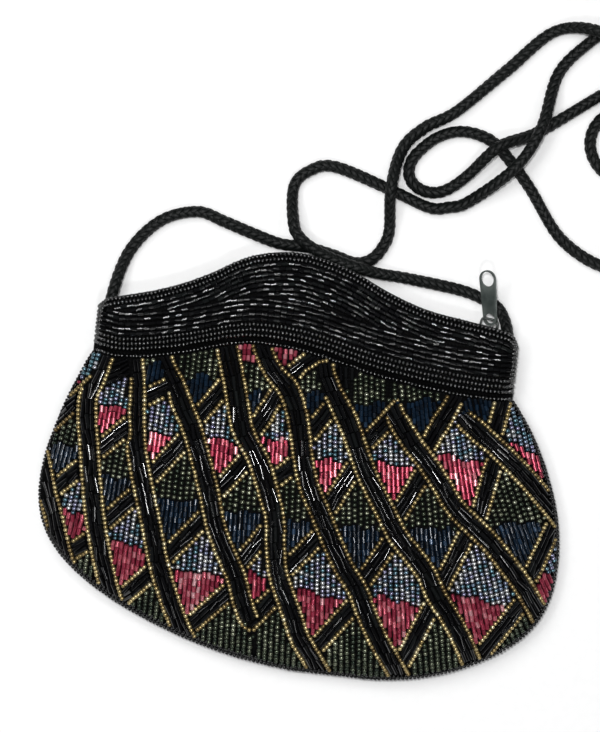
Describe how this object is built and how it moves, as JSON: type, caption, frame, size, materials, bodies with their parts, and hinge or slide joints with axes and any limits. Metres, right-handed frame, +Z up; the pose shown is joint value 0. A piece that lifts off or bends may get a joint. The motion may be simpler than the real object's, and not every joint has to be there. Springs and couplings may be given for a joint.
{
  "type": "beaded evening bag",
  "caption": "Gathered beaded evening bag with a humped bugle-bead band, a zip in the mouth and a long braided cord strap, lying on its back.",
  "frame": {"origin": "centre of the bag's box on the surface that it lies on, measured without the strap", "axes": "+X along the band towards the zip pull, +Y from the pouch towards the hump of the band, +Z up from the surface, out of the front"},
  "size_m": [0.2436, 0.2848, 0.0271],
  "materials": {
    "pouch_beadwork": "glass seed and bugle beads on black cloth",
    "band_beadwork": "black glass bugle and seed beads on stiffened cloth",
    "strap_braid": "black braided cord with a soft sheen",
    "zip_tape": "woven black tape",
    "zip_coil": "black nylon coil",
    "zip_metal": "dark gunmetal"
  },
  "bodies": {
    "bag": {"pouch_front": "pouch_beadwork", "pouch_back": "pouch_beadwork", "band_front": "band_beadwork", "band_back": "band_beadwork", "zip_tape_front": "zip_tape", "zip_tape_back": "zip_tape", "zip_coil_front": "zip_coil", "zip_coil_back": "zip_coil", "zip_slider": "zip_metal", "strap_cord": "strap_braid"},
    "pull": {"zip_pull": "zip_metal"}
  },
  "joints": [
    {"name": "pull_swing", "type": "hinge", "parent": "bag", "child": "pull", "pos_m": [0.06692, 0.06474, 0.0066], "axis": [0.9903, -0.1392, 0], "range_deg": [0, 50]}
  ]
}
